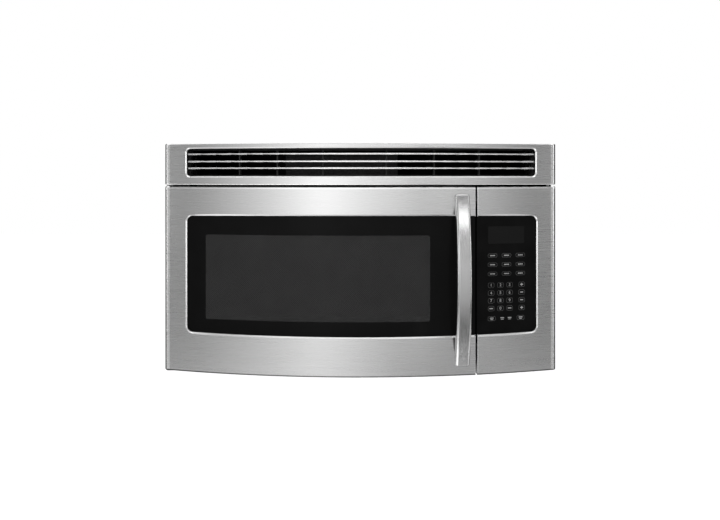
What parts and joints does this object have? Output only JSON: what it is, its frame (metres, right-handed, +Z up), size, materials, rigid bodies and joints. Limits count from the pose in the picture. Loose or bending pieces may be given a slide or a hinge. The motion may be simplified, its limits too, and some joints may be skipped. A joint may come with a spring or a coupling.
{
  "type": "over-the-range microwave oven",
  "caption": "Wall-hung microwave oven with bowed stainless front, side-hinged glass door, arched handle, keypad panel, turntable cavity, louvred vent and blower over a range.",
  "frame": {"origin": "middle of the wall plate's lower edge, on the face that lies against the wall", "axes": "+X across the front to the right, +Y back to the wall, +Z up"},
  "size_m": [0.759, 0.435, 0.457],
  "materials": {
    "stainless": "horizontal brushed stainless steel",
    "handle_steel": "satin stainless bar",
    "louvre_steel": "bright drawn steel",
    "case_paint": "satin charcoal powder coat",
    "zinc_steel": "zinc-coated sheet",
    "cavity_enamel": "light grey enamel",
    "motor_steel": "laminated steel",
    "magnetron_metal": "bright aluminium fins",
    "filter_mesh": "expanded aluminium mesh",
    "black_glass": "black printed tempered glass",
    "tray_glass": "clear glass",
    "lamp_glass": "frosted glass",
    "display_tint": "tinted window",
    "black_sheet": "glossy black keypad sheet",
    "key_print": "printed membrane keys",
    "screen_steel": "perforated black-coated steel",
    "black_plastic": "fine-textured moulding",
    "white_plastic": "natural moulding",
    "mica": "mica sheet",
    "charcoal": "charcoal pad in mesh",
    "circuit_board": "circuit board"
  },
  "bodies": {
    "cabinet": {"outer_case": "case_paint", "back_panel": "zinc_steel", "base_plate": "case_paint", "front_frame": "cavity_enamel", "oven_cavity": "cavity_enamel", "waveguide_cover": "mica", "waveguide": "zinc_steel", "magnetron": "magnetron_metal", "cavity_lamp": "lamp_glass", "turntable_motor": "zinc_steel", "blower_deck": "zinc_steel", "blower_motor": "motor_steel", "blower_housings": "zinc_steel", "damper_housing": "zinc_steel", "charcoal_filter": "charcoal", "lamp_lenses": "lamp_glass", "lamp_housings": "zinc_steel", "cooktop_lamps": "lamp_glass", "fan_frame": "white_plastic", "fan_motor": "motor_steel", "hv_transformer": "motor_steel", "hv_capacitor": "zinc_steel", "interlock_bracket": "white_plastic", "interlock_switches": "black_plastic", "cord_inlet": "black_plastic", "filter_board": "circuit_board", "control_bezel": "stainless", "keypad_overlay": "black_sheet", "display_window": "display_tint", "key_pads": "key_print", "control_chassis": "black_plastic", "control_board": "circuit_board", "hinge_brackets": "zinc_steel", "vent_grille": "stainless", "louvre_bars": "louvre_steel", "louvre_frame": "black_plastic", "wall_plate": "zinc_steel"},
    "door": {"door_skin": "stainless", "door_glass": "black_glass", "door_screen": "screen_steel", "door_pan": "zinc_steel", "hinge_bushes": "white_plastic", "choke_cover": "black_plastic", "inner_pane": "tray_glass", "door_handle": "handle_steel", "handle_screws": "motor_steel", "latch_spring": "motor_steel"},
    "latch": {"latch_bar": "white_plastic"},
    "turntable_drive": {"drive_coupler": "white_plastic"},
    "tray": {"glass_tray": "tray_glass"},
    "roller_ring": {"roller_ring": "white_plastic"},
    "roller_wheel_1": {"roller_wheel_1": "white_plastic"},
    "roller_wheel_2": {"roller_wheel_2": "white_plastic"},
    "roller_wheel_3": {"roller_wheel_3": "white_plastic"},
    "blower_rotor": {"blower_shaft": "motor_steel", "blower_wheels": "black_plastic"},
    "fan": {"fan_rotor": "white_plastic"},
    "grease_filter_left": {"grease_filter_left": "filter_mesh"},
    "grease_filter_right": {"grease_filter_right": "filter_mesh"},
    "damper": {"damper_flap": "zinc_steel"}
  },
  "joints": [
    {"name": "door_hinge", "type": "hinge", "parent": "cabinet", "child": "door", "pos_m": [-0.3715, -0.362, 0.18], "axis": [0, 0, -1], "range_deg": [0, 105]},
    {"name": "latch_slide", "type": "slide", "parent": "door", "child": "latch", "axis": [0, 0, 1], "range_m": [0, 0.006], "stiffness_N_per_m": 400, "springref_m": -0.005, "deforming": ["latch_spring"]},
    {"name": "turntable_spin", "type": "hinge", "parent": "cabinet", "child": "turntable_drive", "pos_m": [-0.0835, -0.1815, 0.08], "axis": [0, 0, 1], "continuous": true},
    {"name": "tray_lift", "type": "slide", "parent": "turntable_drive", "child": "tray", "axis": [0, 0, 1], "range_m": [0, 0.12]},
    {"name": "ring_spin", "type": "hinge", "parent": "cabinet", "child": "roller_ring", "pos_m": [-0.0835, -0.1815, 0.08], "axis": [0, 0, 1], "continuous": true},
    {"name": "wheel_1_spin", "type": "hinge", "parent": "roller_ring", "child": "roller_wheel_1", "pos_m": [-0.0835, -0.0895, 0.08], "axis": [0, 1, 0], "continuous": true},
    {"name": "wheel_2_spin", "type": "hinge", "parent": "roller_ring", "child": "roller_wheel_2", "pos_m": [-0.16317, -0.2275, 0.08], "axis": [-0.866, -0.5, 0], "continuous": true},
    {"name": "wheel_3_spin", "type": "hinge", "parent": "roller_ring", "child": "roller_wheel_3", "pos_m": [-0.00383, -0.2275, 0.08], "axis": [0.866, -0.5, 0], "continuous": true},
    {"name": "blower_spin", "type": "hinge", "parent": "cabinet", "child": "blower_rotor", "pos_m": [0, -0.0862, 0.3582], "axis": [1, 0, 0], "continuous": true},
    {"name": "fan_spin", "type": "hinge", "parent": "cabinet", "child": "fan", "pos_m": [0.2695, -0.063, 0.215], "axis": [0, 1, 0], "continuous": true},
    {"name": "grease_filter_left_slide", "type": "slide", "parent": "cabinet", "child": "grease_filter_left", "axis": [0, 1, 0], "range_m": [0, 0.009]},
    {"name": "grease_filter_right_slide", "type": "slide", "parent": "cabinet", "child": "grease_filter_right", "axis": [0, 1, 0], "range_m": [0, 0.009]},
    {"name": "damper_flap_swing", "type": "hinge", "parent": "cabinet", "child": "damper", "pos_m": [0, -0.037, 0.442], "axis": [-1, 0, 0], "range_deg": [0, 80]}
  ],
  "couplings": [
    {"joint": "ring_spin", "follows": "turntable_spin", "ratio": 0.5},
    {"joint": "wheel_1_spin", "follows": "turntable_spin", "ratio": -5.8974},
    {"joint": "wheel_2_spin", "follows": "turntable_spin", "ratio": -5.8974},
    {"joint": "wheel_3_spin", "follows": "turntable_spin", "ratio": -5.8974}
  ]
}
